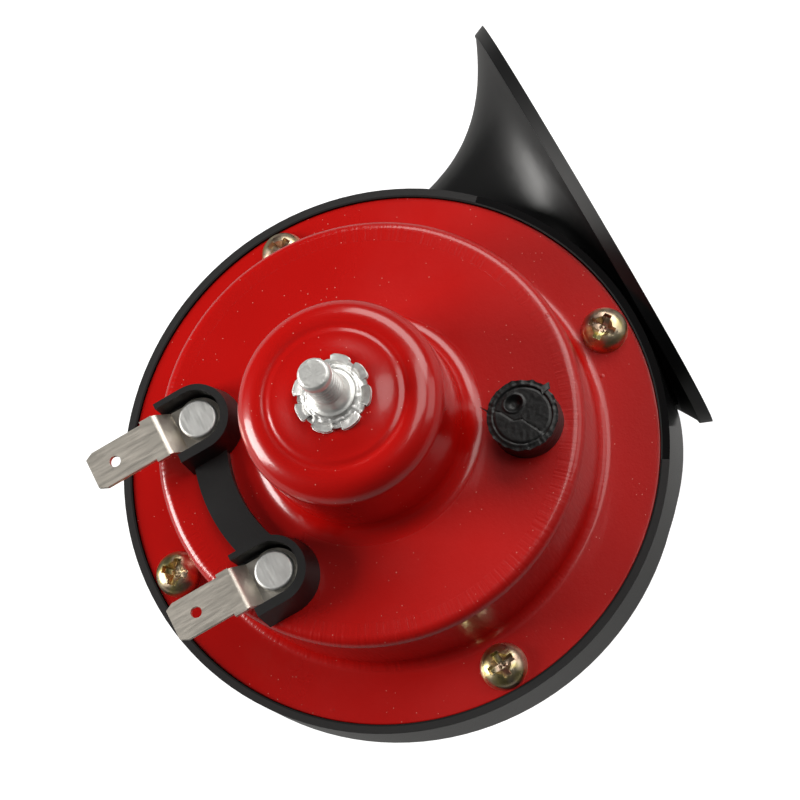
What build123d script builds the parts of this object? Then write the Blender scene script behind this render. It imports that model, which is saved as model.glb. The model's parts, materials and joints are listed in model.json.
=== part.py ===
from build123d import *

# A car's electric horn: a diaphragm motor in a pressed steel cover, which sounds into a moulded volute.
# Millimetres. The origin is the middle of the hub's seat, where a mounting bracket bears. +Z runs along
# the stud and +X the way the bell's mouth faces.
import os
from math import copysign, cos, exp, pi, radians, sin

# ---- driving dimensions: cover -------------------------------------------------------------------
sheet = 1.0
cup_radius = 45.0
flange_inset = 1.5
plateau_radius = 34.0
plateau_height = 16.5
hub_radius = 15.8
shoulder_height = 35.4
crease_radius = 10.7
boss_radius = 8.6
seat_height = 36.2
foot_round = 1.8
plateau_round = 1.8
hub_foot_round = 3.0
hub_round = 3.5
crease_depth = 0.15
crease_round = 0.8
boss_round = 1.2

flange_radius = cup_radius - flange_inset
flange_z = -seat_height
plateau_z = flange_z + plateau_height
ceiling_z = plateau_z - sheet
hub_bore = hub_radius - sheet

# ---- screws, holes and fits ----------------------------------------------------------------------
screw_count = 4
screw_inset = 5.5
screw_radius = 2.0
screw_length = 11.0
screw_tip_gap = 0.4
head_radius = 3.75
head_height = 2.7
head_round_share = 0.62
recess_reach = 2.25
recess_width = 1.1
recess_depth = 1.6
recess_draft = 12
recess_turns = (34.5, 31, 48.2, 5.2)
hole_clearance = 0.2
fit_clearance = 0.1

screw_circle = cup_radius - screw_inset

# ---- stud, core and washer -----------------------------------------------------------------------
stud_radius = 2.5
stud_end = flange_z + 47.4
stud_chamfer = 0.35
collar_radius = 3.7
collar_rise = 1.1
collar_taper = 0.9
core_radius = 5.5
core_end = flange_z + 24.0
petal_count = 8
petal_reach = 5.9
petal_root = 4.4
petal_width = 3.3
petal_twist = 15.0
petal_round = 0.6
petal_overlap = 0.2
washer_bore = 3.85
washer_thickness = 0.6

# ---- terminals and their insulator ---------------------------------------------------------------
rivet_x = -22.1
rivet_y = 13.8
rivet_radius = 2.0
rivet_head_radius = 3.1
rivet_head_height = 1.7
rivet_head_round = 0.45
band_inner = 21.9
band_outer = 27.35
band_height = 1.6
shroud_foot_width = 12.4
shroud_top_width = 10.8
shroud_inner_width = 8.4
shroud_shift = -0.3
shroud_height = 5.4
shroud_floor = 1.35
shroud_reach = 5.0
sleeve_radius = 3.1
terminal_thickness = 0.8
coil_tab_rise = 3.3
contact_tab_rise = 2.5
fold_radius = 0.5
eyelet_radius = 3.8
strip_width = 7.0
shoulder_width = 7.3
shoulder_x = -30.3
tab_width = 6.3
tab_tip_width = 5.0
tab_tip_length = 1.3
coil_tip_x = -40.4
contact_tip_x = -39.5
tab_hole_setback = 4.1
tab_hole_radius = 0.9
bend_start_x = -26.2
bend_end_x = -28.2

# ---- sealing plug and adjusting screw ------------------------------------------------------------
adjuster_x = 22.2
adjuster_y = -12.3
plug_radius = 5.55
plug_height = 5.0
plug_draft = 1.5
plug_round = 0.5
tear_length = 8.6
tear_width = 2.0
tear_offset = -0.9
tear_slope = -0.12
tear_depth = 0.7
dent_length = 3.0
dent_width = 2.2
dent_x = 0.4
dent_offset = 1.6
adjuster_radius = 2.0
adjuster_rise = 2.6
slot_width = 0.8
slot_depth = 0.9
nut_radius = 3.2
nut_height = 2.0

# ---- diaphragm, gaskets and armature -------------------------------------------------------------
gasket_thickness = 0.5
gasket_inset = 0.2
chamber_radius = 36.0
diaphragm_thickness = 0.4
armature_radius = 5.4
armature_gap = 0.9
lifter_radius = 8.0
lifter_thickness = 1.2
lifter_gap = 0.3
spigot_radius = 2.5
washer_radius = 9.0
washer_height = 1.0
peened_radius = 3.3
peened_height = 1.0

gasket_outer = flange_radius - gasket_inset
gasket_z = flange_z - sheet - gasket_thickness
diaphragm_z = gasket_z - diaphragm_thickness
seat_z = diaphragm_z - gasket_thickness

# ---- coil ----------------------------------------------------------------------------------------
bobbin_radius = 13.6
bobbin_bore = 5.9
bobbin_wall = 1.0
bobbin_top = flange_z + 33.75
bobbin_bottom = flange_z + 21.5
winding_radius = 13.1
plate_thickness = 1.5
plate_bore = 6.5

# ---- contact breaker -----------------------------------------------------------------------------
arm_y = -13.05
arm_width = 8.0
arm_corner = 1.5
arm_root_x = -26.5
clamp_x = -17.6
insulator_thickness = 2.0
spring_thickness = 0.3
spring_tip_x = 17.6
tongue_half_width = 4.0
tongue_y = -5.95
spacer_thickness = 1.2
bracket_thickness = 0.8
bracket_tip_x = 26.0
contact_x = 14.9
contact_radius = 1.5
contact_tail = 0.3
contact_tail_radius = 1.2
contact_shank_radius = 0.8
lower_washer_thickness = 0.8
rivet_tail_radius = 3.1
rivet_tail_height = 1.1

spring_z = ceiling_z - insulator_thickness - spring_thickness
spacer_z = spring_z - spacer_thickness
bracket_z = spacer_z - bracket_thickness
lower_washer_z = bracket_z - lower_washer_thickness
contact_z = (spring_z + spacer_z) / 2

# ---- volute --------------------------------------------------------------------------------------
wall = 2.0
lip_gap = 0.1
lip_rise = 0.4
cup_skirt_z = flange_z - 10.8
skirt_wall = 1.8
chamber_floor_z = flange_z - 5.0
throat_floor_z = flange_z - 9.0
floor_thickness = 2.2
throat_radius = 4.5
throat_flat = 10.0
screw_boss_radius = 4.2
screw_boss_z = flange_z - 13.0
ramp_start_y = -31.0
ramp_end_y = -12.0
ramp_lead_length = 3.5
ramp_lead_depth = 1.6

front_z = flange_z - 46.0
parting_z = flange_z - 24.0
mouth_x = 48.0
mouth_low = -14.6
mouth_high = 65.8
mouth_top = flange_z + 1.75
neck_low = 11.1
neck_high = 41.0
neck_top = flange_z - 6.8
duct_bottom = front_z - 0.6
flare_side_length = 11.0
flare_top_length = 5.0
duct_squareness = 3.5
mouth_squareness = 2.4
squareness_growth = 1.5
turn_pitch = 383.0
spiral_turns = 400
spiral_joint = 200
spiral_step = 40
turn_drop = 4.0
inner_turn_rise = 10.0
lip_width = 2.0
lip_step = 0.4
lip_flare = 0.8
pocket_azimuth = 150
pocket_offset = 4.0
pocket_radius = 5.2
pocket_top = flange_z - 20.0
pocket_bottom = flange_z - 38.0
section_points = 20
lip_bore = flange_radius + lip_gap
lip_x = mouth_x - lip_width
bell_stations = (0, 12, 24, 33, 39, 43, lip_x)

os.makedirs("parts", exist_ok=True)


def finish(builder, name):
    """Label a finished piece and write it."""
    builder.part.label = name
    export_step(builder.part, f"parts/{name}.step")


def disc(z, height, radius, bore=0.0):
    """Add a disc or ring that stands on height z."""
    with BuildSketch(Plane.XY.offset(z)) as ring:
        Circle(radius)
        if bore > 0:
            Circle(bore, mode=Mode.SUBTRACT)
    extrude(ring.sketch, amount=height)


def bore_through(x, y, radius, low, high):
    """Cut a round hole along Z."""
    with BuildSketch(Plane.XY.offset(low)) as hole:
        with Locations((x, y)):
            Circle(radius)
    extrude(hole.sketch, amount=high - low, mode=Mode.SUBTRACT)


def screw_holes(radius, low, high):
    """Cut the four holes on the screw circle."""
    with BuildSketch(Plane.XY.offset(low)) as holes:
        with PolarLocations(screw_circle, screw_count):
            Circle(radius)
    extrude(holes.sketch, amount=high - low, mode=Mode.SUBTRACT)


# ---- rear cover: one pressing, revolved from the line of its outer face ---------------------------
with BuildPart() as rear_cover:
    with BuildSketch(Plane.XZ):
        with BuildLine():
            outer_face = FilletPolyline(
                (flange_radius, flange_z),
                (plateau_radius, flange_z),
                (plateau_radius, plateau_z),
                (hub_radius, plateau_z),
                (hub_radius, flange_z + shoulder_height),
                (crease_radius, flange_z + shoulder_height - crease_depth),
                (boss_radius, 0),
                (collar_radius + hole_clearance / 2, 0),
                radius=(foot_round, plateau_round, hub_foot_round, hub_round, crease_round, boss_round),
            )
            offset(outer_face, amount=sheet, side=Side.LEFT)
        make_face()
    revolve(axis=Axis.Z)
    screw_holes(screw_radius + hole_clearance, flange_z - sheet, flange_z)
    for side in (1, -1):
        bore_through(rivet_x, side * rivet_y, sleeve_radius + fit_clearance, ceiling_z, plateau_z)
    bore_through(adjuster_x, adjuster_y, adjuster_radius + hole_clearance, ceiling_z, plateau_z)
finish(rear_cover, "rear_cover")


# ---- stud and core: one turned piece, with the star washer round its collar ----------------------
with BuildPart() as pole_core:
    with BuildSketch(Plane.XZ):
        with BuildLine():
            Polyline(
                (0, core_end),
                (core_radius, core_end),
                (core_radius, -sheet),
                (collar_radius, -sheet),
                (collar_radius, collar_rise),
                (stud_radius, collar_rise + collar_taper),
                (stud_radius, stud_end - stud_chamfer),
                (stud_radius - stud_chamfer, stud_end),
                (0, stud_end),
                close=True,
            )
        make_face()
    revolve(axis=Axis.Z)
finish(pole_core, "pole_core")

washer_mid = petal_width / 2 * sin(radians(petal_twist)) + washer_thickness / 2 * cos(radians(petal_twist))
petal_normal = (0, -sin(radians(petal_twist)), cos(radians(petal_twist)))
with BuildPart() as petal:
    with BuildSketch(Plane(origin=(0, 0, washer_mid), x_dir=(1, 0, 0), z_dir=petal_normal)):
        with Locations(((petal_root + petal_reach) / 2, 0)):
            Rectangle(petal_reach - petal_root, petal_width)
    extrude(amount=washer_thickness / 2, both=True)
    corners = petal.edges().filter_by(Axis((0, 0, 0), petal_normal)).group_by(Axis.X)[-1]
    fillet(corners, radius=petal_round)

with BuildPart() as star_washer:
    disc(washer_mid - washer_thickness / 2, washer_thickness, petal_root + petal_overlap, washer_bore)
    with PolarLocations(0, petal_count):
        add(petal.part)
finish(star_washer, "star_washer")


# ---- cover screws: pan heads with a cross recess, driven into the volute's bosses -----------------
with BuildPart() as screw_form:
    disc(flange_z, head_height, head_radius)
    fillet(screw_form.edges().group_by(Axis.Z)[-1], radius=head_height * head_round_share)
    disc(flange_z - screw_length, screw_length, screw_radius - fit_clearance / 2)
    with BuildSketch(Plane.XY.offset(flange_z + head_height)):
        Rectangle(2 * recess_reach, recess_width)
        Rectangle(recess_width, 2 * recess_reach)
    extrude(amount=-recess_depth, taper=recess_draft, mode=Mode.SUBTRACT)

for number in range(screw_count):
    place = Location((0, 0, 0), (0, 0, number * 360 / screw_count)) * Pos(screw_circle, 0, 0)
    with BuildPart() as cover_screw:
        with Locations(place * Rot(0, 0, recess_turns[number])):
            add(screw_form.part)
    finish(cover_screw, f"cover_screw_{number + 1}")


# ---- terminal insulator: two U shrouds joined by an arc, with a sleeve down each rivet hole --------
strip_z = plateau_z + shroud_floor


def shroud_outline(side, z, width):
    """A shroud's plan at height z: straight from its open end and half round towards the stud."""
    open_x = rivet_x - shroud_reach
    middle_y = side * rivet_y + shroud_shift
    low_y = middle_y - width / 2
    high_y = middle_y + width / 2
    with BuildSketch(Plane.XY.offset(z)) as outline:
        with BuildLine():
            Line((open_x, low_y), (rivet_x, low_y))
            ThreePointArc((rivet_x, low_y), (rivet_x + width / 2, middle_y), (rivet_x, high_y))
            Line((rivet_x, high_y), (open_x, high_y))
            Line((open_x, high_y), (open_x, low_y))
        make_face()
    return outline.sketch.faces()[0]


with BuildPart() as terminal_insulator:
    with BuildSketch(Plane.XY.offset(plateau_z)):
        Circle(band_outer)
        Circle(band_inner, mode=Mode.SUBTRACT)
        with Locations((-band_outer, 0)):
            Rectangle(2 * band_outer, 2 * rivet_y, mode=Mode.INTERSECT)
    extrude(amount=band_height)
    for side in (1, -1):
        foot = shroud_outline(side, plateau_z, shroud_foot_width)
        top = shroud_outline(side, plateau_z + shroud_height, shroud_top_width)
        loft([foot, top], ruled=True)
    for side in (1, -1):
        with BuildSketch(Plane.XY.offset(strip_z)):
            with Locations((rivet_x, side * rivet_y)):
                Circle(shroud_inner_width / 2)
            with Locations((rivet_x - shroud_reach, side * rivet_y)):
                Rectangle(2 * shroud_reach, shroud_inner_width)
        extrude(amount=shroud_height, mode=Mode.SUBTRACT)
        with BuildSketch(Plane.XY.offset(ceiling_z)):
            with Locations((rivet_x, side * rivet_y)):
                Circle(sleeve_radius)
        extrude(amount=sheet)
        bore_through(rivet_x, side * rivet_y, rivet_radius + fit_clearance, ceiling_z, strip_z)
finish(terminal_insulator, "terminal_insulator")


# ---- terminals: cranked strips, cut to outline from a folded section ------------------------------
eyelet_end_x = rivet_x + eyelet_radius


def terminal(side, tip_x, tab_rise):
    """A spade terminal on the rivet at side * rivet_y, its tab raised by tab_rise and ending at tip_x."""
    strip_y = side * rivet_y
    hole_x = tip_x + tab_hole_setback
    tip_start_x = tip_x + tab_tip_length
    with BuildPart() as strip:
        with BuildSketch(Plane.XZ.offset(-strip_y)) as section:
            with BuildLine():
                fold = FilletPolyline(
                    (eyelet_end_x, strip_z),
                    (bend_start_x, strip_z),
                    (bend_end_x, strip_z + tab_rise),
                    (tip_x, strip_z + tab_rise),
                    radius=fold_radius,
                )
                offset(fold, amount=terminal_thickness, side=Side.RIGHT)
            make_face()
        extrude(section.sketch, amount=eyelet_radius, both=True)
        with BuildSketch(Plane.XY.offset(plateau_z)) as outline:
            with Locations((rivet_x, strip_y)):
                Circle(eyelet_radius)
            with Locations(((rivet_x + shoulder_x) / 2, strip_y)):
                Rectangle(rivet_x - shoulder_x, strip_width)
            with Locations(((bend_end_x + shoulder_x) / 2, strip_y)):
                Rectangle(bend_end_x - shoulder_x, shoulder_width)
            with BuildLine():
                Polyline(
                    (shoulder_x, strip_y - tab_width / 2),
                    (tip_start_x, strip_y - tab_width / 2),
                    (tip_x, strip_y - tab_tip_width / 2),
                    (tip_x, strip_y + tab_tip_width / 2),
                    (tip_start_x, strip_y + tab_width / 2),
                    (shoulder_x, strip_y + tab_width / 2),
                    close=True,
                )
            make_face()
        extrude(outline.sketch, amount=shroud_height + tab_rise, mode=Mode.INTERSECT)
        bore_through(hole_x, strip_y, tab_hole_radius, strip_z, strip_z + tab_rise + terminal_thickness)
        bore_through(rivet_x, strip_y, rivet_radius + fit_clearance, strip_z, strip_z + terminal_thickness)
    return strip


finish(terminal(1, coil_tip_x, coil_tab_rise), "coil_terminal")
finish(terminal(-1, contact_tip_x, contact_tab_rise), "contact_terminal")


# ---- terminal rivets: domed heads outside, formed tails under their stacks ------------------------
def rivet(side, tail_z):
    """A terminal rivet whose stack ends at tail_z."""
    head_z = strip_z + terminal_thickness
    with BuildPart() as body:
        disc(head_z, rivet_head_height, rivet_head_radius)
        fillet(body.edges().group_by(Axis.Z)[-1], radius=rivet_head_round)
        disc(tail_z, head_z - tail_z, rivet_radius)
        disc(tail_z - rivet_tail_height, rivet_tail_height, rivet_tail_radius)
    with BuildPart() as placed:
        with Locations((rivet_x, side * rivet_y, 0)):
            add(body.part)
    return placed


finish(rivet(1, ceiling_z - insulator_thickness), "terminal_rivet_1")
finish(rivet(-1, lower_washer_z), "terminal_rivet_2")


# ---- sealing plug over the adjusting screw: a drafted cap, its top torn open -----------------------
with BuildPart() as sealing_plug:
    with BuildSketch(Plane.XY.offset(plateau_z)):
        with Locations((adjuster_x, adjuster_y)):
            Circle(plug_radius)
    extrude(amount=plug_height, taper=plug_draft)
    fillet(sealing_plug.edges().group_by(Axis.Z)[-1], radius=plug_round)
    with BuildSketch(Plane.XY.offset(plateau_z)):
        with Locations((adjuster_x, adjuster_y)):
            Circle(adjuster_radius + fit_clearance)
    extrude(amount=adjuster_rise + fit_clearance, mode=Mode.SUBTRACT)
    plug_top = (adjuster_x, adjuster_y, plateau_z + plug_height)
    with BuildSketch(Plane(origin=plug_top, x_dir=(1, tear_slope, 0), z_dir=(0, 0, 1))):
        with Locations((0, tear_offset)):
            Ellipse(tear_length / 2, tear_width / 2)
        with Locations((dent_x, dent_offset)):
            Ellipse(dent_length / 2, dent_width / 2)
    extrude(amount=-tear_depth, mode=Mode.SUBTRACT)
finish(sealing_plug, "sealing_plug")

with BuildPart() as adjusting_screw:
    with BuildSketch(Plane.XY.offset(spacer_z)):
        with Locations((adjuster_x, adjuster_y)):
            Circle(adjuster_radius - fit_clearance / 2)
    extrude(amount=plateau_z + adjuster_rise - spacer_z)
    with BuildSketch(Plane.XY.offset(plateau_z + adjuster_rise)):
        with Locations((adjuster_x, adjuster_y)):
            Rectangle(2 * adjuster_radius, slot_width)
    extrude(amount=-slot_depth, mode=Mode.SUBTRACT)
finish(adjusting_screw, "adjusting_screw")

with BuildPart() as adjuster_nut:
    with BuildSketch(Plane.XY.offset(ceiling_z - nut_height)):
        with Locations((adjuster_x, adjuster_y)):
            Circle(nut_radius)
            Circle(adjuster_radius, mode=Mode.SUBTRACT)
    extrude(amount=nut_height)
finish(adjuster_nut, "adjuster_nut")


# ---- contact breaker: spring above, bracket below, both clamped by the contact side's rivet --------
def arm(z, height, tip_x, rivet_hole):
    """A flat arm along the breaker's line, rounded at its tip, with a hole for the rivet."""
    with BuildSketch(Plane.XY.offset(z)) as outline:
        with Locations(((arm_root_x + tip_x) / 2, arm_y)):
            RectangleRounded(tip_x - arm_root_x, arm_width, arm_corner)
        with Locations((rivet_x, -rivet_y)):
            Circle(rivet_hole, mode=Mode.SUBTRACT)
    extrude(outline.sketch, amount=height)


with BuildPart() as inner_insulator:
    with BuildSketch(Plane.XY.offset(spring_z + spring_thickness)):
        with Locations(((arm_root_x + clamp_x) / 2, 0)):
            RectangleRounded(clamp_x - arm_root_x, 2 * rivet_y + arm_width, arm_corner)
        with Locations((rivet_x, rivet_y), (rivet_x, -rivet_y)):
            Circle(rivet_radius + fit_clearance, mode=Mode.SUBTRACT)
    extrude(amount=insulator_thickness)
finish(inner_insulator, "inner_insulator")

with BuildPart() as contact_spring:
    arm(spring_z, spring_thickness, spring_tip_x, rivet_radius + fit_clearance)
    with BuildSketch(Plane.XY.offset(spring_z)):
        with Locations((0, (arm_y + tongue_y) / 2)):
            Rectangle(2 * tongue_half_width, tongue_y - arm_y)
    extrude(amount=spring_thickness)
    bore_through(contact_x, arm_y, contact_shank_radius, spring_z, spring_z + spring_thickness)
finish(contact_spring, "contact_spring")

with BuildPart() as contact_spacer:
    arm(spacer_z, spacer_thickness, clamp_x, rivet_radius + fit_clearance)
    with BuildSketch(Plane.XY.offset(bracket_z)):
        with Locations((rivet_x, -rivet_y)):
            Circle(sleeve_radius - fit_clearance)
            Circle(rivet_radius + fit_clearance, mode=Mode.SUBTRACT)
    extrude(amount=bracket_thickness)
finish(contact_spacer, "contact_spacer")

with BuildPart() as contact_bracket:
    arm(bracket_z, bracket_thickness, bracket_tip_x, sleeve_radius)
    bore_through(contact_x, arm_y, contact_shank_radius, bracket_z, bracket_z + bracket_thickness)
finish(contact_bracket, "contact_bracket")

with BuildPart() as contact_washer:
    arm(lower_washer_z, lower_washer_thickness, clamp_x, rivet_radius + fit_clearance)
finish(contact_washer, "contact_washer")


def contact(face_z, arm_low, arm_high, tail_z):
    """A contact rivet: its head reaches face_z from the arm and its tail is formed on the other side."""
    with BuildPart() as button:
        with BuildSketch(Plane.XY.offset(min(face_z, tail_z))) as lower_disc:
            with Locations((contact_x, arm_y)):
                Circle(contact_radius if face_z < tail_z else contact_tail_radius)
        extrude(lower_disc.sketch, amount=arm_low - min(face_z, tail_z))
        with BuildSketch(Plane.XY.offset(arm_low)) as shank:
            with Locations((contact_x, arm_y)):
                Circle(contact_shank_radius)
        extrude(shank.sketch, amount=arm_high - arm_low)
        with BuildSketch(Plane.XY.offset(arm_high)) as upper_disc:
            with Locations((contact_x, arm_y)):
                Circle(contact_radius if face_z > tail_z else contact_tail_radius)
        extrude(upper_disc.sketch, amount=max(face_z, tail_z) - arm_high)
    return button


spring_top = spring_z + spring_thickness
finish(contact(contact_z, spring_z, spring_top, spring_top + contact_tail), "moving_contact")
finish(contact(contact_z, bracket_z, spacer_z, bracket_z - contact_tail), "fixed_contact")


# ---- coil: bobbin, winding and the plate pressed into the hub's mouth ------------------------------
with BuildPart() as coil_bobbin:
    disc(bobbin_bottom, bobbin_top - bobbin_bottom, bobbin_bore + bobbin_wall, bobbin_bore)
    disc(bobbin_bottom, bobbin_wall, bobbin_radius, bobbin_bore)
    disc(bobbin_top - bobbin_wall, bobbin_wall, bobbin_radius, bobbin_bore)
finish(coil_bobbin, "coil_bobbin")

with BuildPart() as coil_winding:
    disc(
        bobbin_bottom + bobbin_wall,
        bobbin_top - bobbin_bottom - 2 * bobbin_wall,
        winding_radius,
        bobbin_bore + bobbin_wall,
    )
finish(coil_winding, "coil_winding")

with BuildPart() as coil_plate:
    disc(bobbin_bottom - plate_thickness, plate_thickness, hub_bore, plate_bore)
finish(coil_plate, "coil_plate")


# ---- armature, peened through the diaphragm and its two washers ------------------------------------
armature_foot = gasket_z + washer_height
lifter_top = spring_z - lifter_gap
with BuildPart() as armature:
    disc(armature_foot, core_end - armature_gap - armature_foot, armature_radius)
    disc(lifter_top - lifter_thickness, lifter_thickness, lifter_radius)
    disc(diaphragm_z - washer_height, armature_foot - diaphragm_z + washer_height, spigot_radius)
    disc(diaphragm_z - washer_height - peened_height, peened_height, peened_radius)
finish(armature, "armature")

with BuildPart() as diaphragm_washer:
    disc(gasket_z, washer_height, washer_radius, spigot_radius)
finish(diaphragm_washer, "diaphragm_washer")

with BuildPart() as front_washer:
    disc(diaphragm_z - washer_height, washer_height, washer_radius, spigot_radius)
finish(front_washer, "front_washer")

with BuildPart() as diaphragm:
    disc(diaphragm_z, diaphragm_thickness, gasket_outer, spigot_radius)
    screw_holes(screw_radius + hole_clearance, diaphragm_z, gasket_z)
finish(diaphragm, "diaphragm")

with BuildPart() as cover_gasket:
    disc(gasket_z, gasket_thickness, gasket_outer, chamber_radius)
    screw_holes(screw_radius + hole_clearance, gasket_z, gasket_z + gasket_thickness)
finish(cover_gasket, "cover_gasket")

with BuildPart() as volute_gasket:
    disc(seat_z, gasket_thickness, gasket_outer, chamber_radius)
    screw_holes(screw_radius + hole_clearance, seat_z, seat_z + gasket_thickness)
finish(volute_gasket, "volute_gasket")


# ---- volute: a spiral duct that grows like an exponential horn into the bell -----------------------
def duct_section(plane, low, high, bottom, top, power, inset):
    """Draw a rounded, nearly rectangular section (a superellipse), inset evenly by the wall."""
    half_width = (high - low) / 2 - inset
    half_height = (top - bottom) / 2 - inset
    middle = Vector((low + high) / 2, (bottom + top) / 2)
    points = []
    for number in range(section_points):
        turn = 2 * pi * (number + 0.5) / section_points
        across = copysign(abs(cos(turn)) ** (2 / power), cos(turn))
        up = copysign(abs(sin(turn)) ** (2 / power), sin(turn))
        points.append(middle + Vector(half_width * across, half_height * up))
    with BuildSketch(plane) as section:
        with BuildLine():
            Spline(*points, periodic=True)
        make_face()
    return section.sketch.faces()[0]


def spiral_section(turn, inset):
    """The section at a turn, in degrees back along the spiral from the start of the neck."""
    azimuth = radians(90 + turn)
    shrink = (neck_low / neck_high) ** (turn / turn_pitch)
    inner_turn = max(turn - spiral_joint, 0) / (spiral_turns - spiral_joint)
    outward = (cos(azimuth), sin(azimuth), 0)
    downstream = (sin(azimuth), -cos(azimuth), 0)
    plane = Plane(origin=(0, 0, 0), x_dir=outward, z_dir=downstream)
    low = neck_low * shrink
    high = neck_high * shrink
    bottom = duct_bottom + inner_turn_rise * inner_turn
    top = neck_top - turn_drop * turn / 360
    return duct_section(plane, low, high, bottom, top, duct_squareness, inset)


def bell_section(x, inset):
    """The section at x along the neck and bell, flaring exponentially as far as the lip."""

    def grow(length):
        return (exp(x / length) - 1) / (exp(lip_x / length) - 1)

    rim = lip_step + lip_flare
    plane = Plane(origin=(x, 0, 0), x_dir=(0, 1, 0), z_dir=(1, 0, 0))
    low = neck_low + (mouth_low + rim - neck_low) * grow(flare_side_length)
    high = neck_high + (mouth_high - rim - neck_high) * grow(flare_side_length)
    bottom = duct_bottom + (front_z + rim - duct_bottom) * grow(flare_top_length)
    top = neck_top + (mouth_top - rim - neck_top) * grow(flare_top_length)
    power = duct_squareness + (mouth_squareness - duct_squareness) * (x / lip_x) ** squareness_growth
    return duct_section(plane, low, high, bottom, top, power, inset)


def lip_section(x, inset):
    """The mouth's own section, inset, at x."""
    plane = Plane(origin=(x, 0, 0), x_dir=(0, 1, 0), z_dir=(1, 0, 0))
    return duct_section(plane, mouth_low, mouth_high, front_z, mouth_top, mouth_squareness, inset)


def duct(inset):
    """The whole duct, from the throat's pocket to the mouth."""
    inner_turns = range(spiral_turns, spiral_joint - 1, -spiral_step)
    outer_turns = range(spiral_joint, 0, -spiral_step)
    pocket = radians(pocket_azimuth)
    with BuildPart() as form:
        loft([spiral_section(turn, inset) for turn in inner_turns])
        outer_sections = [spiral_section(turn, inset) for turn in outer_turns]
        bell_sections = [bell_section(x, inset) for x in bell_stations]
        loft(outer_sections + bell_sections)
        loft([bell_section(lip_x, inset), lip_section(mouth_x, inset + lip_step)])
        with BuildSketch(Plane.XY.offset(pocket_bottom - wall + inset)) as start:
            with Locations((pocket_offset * cos(pocket), pocket_offset * sin(pocket))):
                Circle(pocket_radius + wall - inset)
        extrude(start.sketch, amount=pocket_top - pocket_bottom + 2 * (wall - inset))
        throat_top = throat_floor_z - floor_thickness / 2 if inset == 0 else throat_floor_z
        disc(pocket_top - wall, throat_top - pocket_top + wall, throat_radius + wall - inset)
    return form.part


# The cup's skirt deepens in a ramp towards the bell, on the side away from the neck.
with BuildPart() as ramp:
    disc(parting_z, cup_skirt_z - parting_z, cup_radius, cup_radius - skirt_wall)
    with BuildSketch(Plane.YZ):
        with BuildLine():
            Polyline(
                (ramp_start_y, cup_skirt_z),
                (ramp_start_y + ramp_lead_length, cup_skirt_z - ramp_lead_depth),
                (ramp_end_y, parting_z),
                (0, parting_z),
                (0, cup_skirt_z),
                close=True,
            )
        make_face()
    extrude(amount=cup_radius, mode=Mode.INTERSECT)

with BuildPart() as volute_shell:
    add(duct(0))
    add(ramp.part)
    loft([lip_section(lip_x, lip_flare), lip_section(mouth_x, 0)])
    with BuildSketch(Plane.XZ):
        with BuildLine():
            Polyline(
                (throat_radius, throat_floor_z),
                (throat_flat, throat_floor_z),
                (chamber_radius, chamber_floor_z),
                (chamber_radius, seat_z),
                (lip_bore, seat_z),
                (lip_bore, flange_z + lip_rise),
                (cup_radius, flange_z + lip_rise),
                (cup_radius, cup_skirt_z),
                (cup_radius - skirt_wall, cup_skirt_z),
                (cup_radius - skirt_wall, chamber_floor_z - floor_thickness),
                (chamber_radius, chamber_floor_z - floor_thickness),
                (throat_flat, throat_floor_z - floor_thickness),
                (throat_radius, throat_floor_z - floor_thickness),
                close=True,
            )
        make_face()
    revolve(axis=Axis.Z)
    with BuildSketch(Plane.XY.offset(screw_boss_z)):
        with PolarLocations(screw_circle, screw_count):
            Circle(screw_boss_radius)
    extrude(amount=chamber_floor_z - screw_boss_z)
    add(duct(wall), mode=Mode.SUBTRACT)
    screw_holes(screw_radius, flange_z - screw_length - screw_tip_gap, seat_z)

with BuildPart() as volute_body:
    add(volute_shell.part)
    split(bisect_by=Plane.XY.offset(parting_z), keep=Keep.TOP)
finish(volute_body, "volute_body")

with BuildPart() as volute_front:
    add(volute_shell.part)
    split(bisect_by=Plane.XY.offset(parting_z), keep=Keep.BOTTOM)
    split(bisect_by=Plane.XY.offset(front_z), keep=Keep.TOP)
finish(volute_front, "volute_front")
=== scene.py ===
"""Looks of a car horn: enamelled cover, plated fasteners, moulded volute. Metres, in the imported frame."""
import json
import math

import bpy
from mathutils import Matrix, Vector, noise


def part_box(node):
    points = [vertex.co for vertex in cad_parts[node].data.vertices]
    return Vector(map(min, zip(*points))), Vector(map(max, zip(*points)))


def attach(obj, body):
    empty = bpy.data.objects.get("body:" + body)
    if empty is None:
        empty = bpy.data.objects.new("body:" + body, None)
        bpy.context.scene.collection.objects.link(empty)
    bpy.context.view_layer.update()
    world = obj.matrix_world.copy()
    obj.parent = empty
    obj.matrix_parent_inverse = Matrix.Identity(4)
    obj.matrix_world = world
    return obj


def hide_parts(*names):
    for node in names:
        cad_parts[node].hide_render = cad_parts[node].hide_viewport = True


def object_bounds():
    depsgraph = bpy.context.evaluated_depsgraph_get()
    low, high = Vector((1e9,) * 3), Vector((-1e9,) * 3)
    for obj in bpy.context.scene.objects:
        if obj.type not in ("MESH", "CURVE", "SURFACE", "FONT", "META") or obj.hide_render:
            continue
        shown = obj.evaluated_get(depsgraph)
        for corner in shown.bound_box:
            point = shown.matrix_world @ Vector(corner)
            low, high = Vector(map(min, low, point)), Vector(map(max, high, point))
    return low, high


MM = 0.001

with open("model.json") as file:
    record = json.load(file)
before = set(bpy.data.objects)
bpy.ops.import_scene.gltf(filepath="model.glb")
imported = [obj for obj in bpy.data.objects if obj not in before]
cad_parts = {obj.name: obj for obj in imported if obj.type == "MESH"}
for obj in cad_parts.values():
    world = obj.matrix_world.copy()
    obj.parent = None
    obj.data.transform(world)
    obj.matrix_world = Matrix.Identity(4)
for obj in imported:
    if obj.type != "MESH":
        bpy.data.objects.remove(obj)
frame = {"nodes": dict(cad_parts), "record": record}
cad_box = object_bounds()

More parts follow.
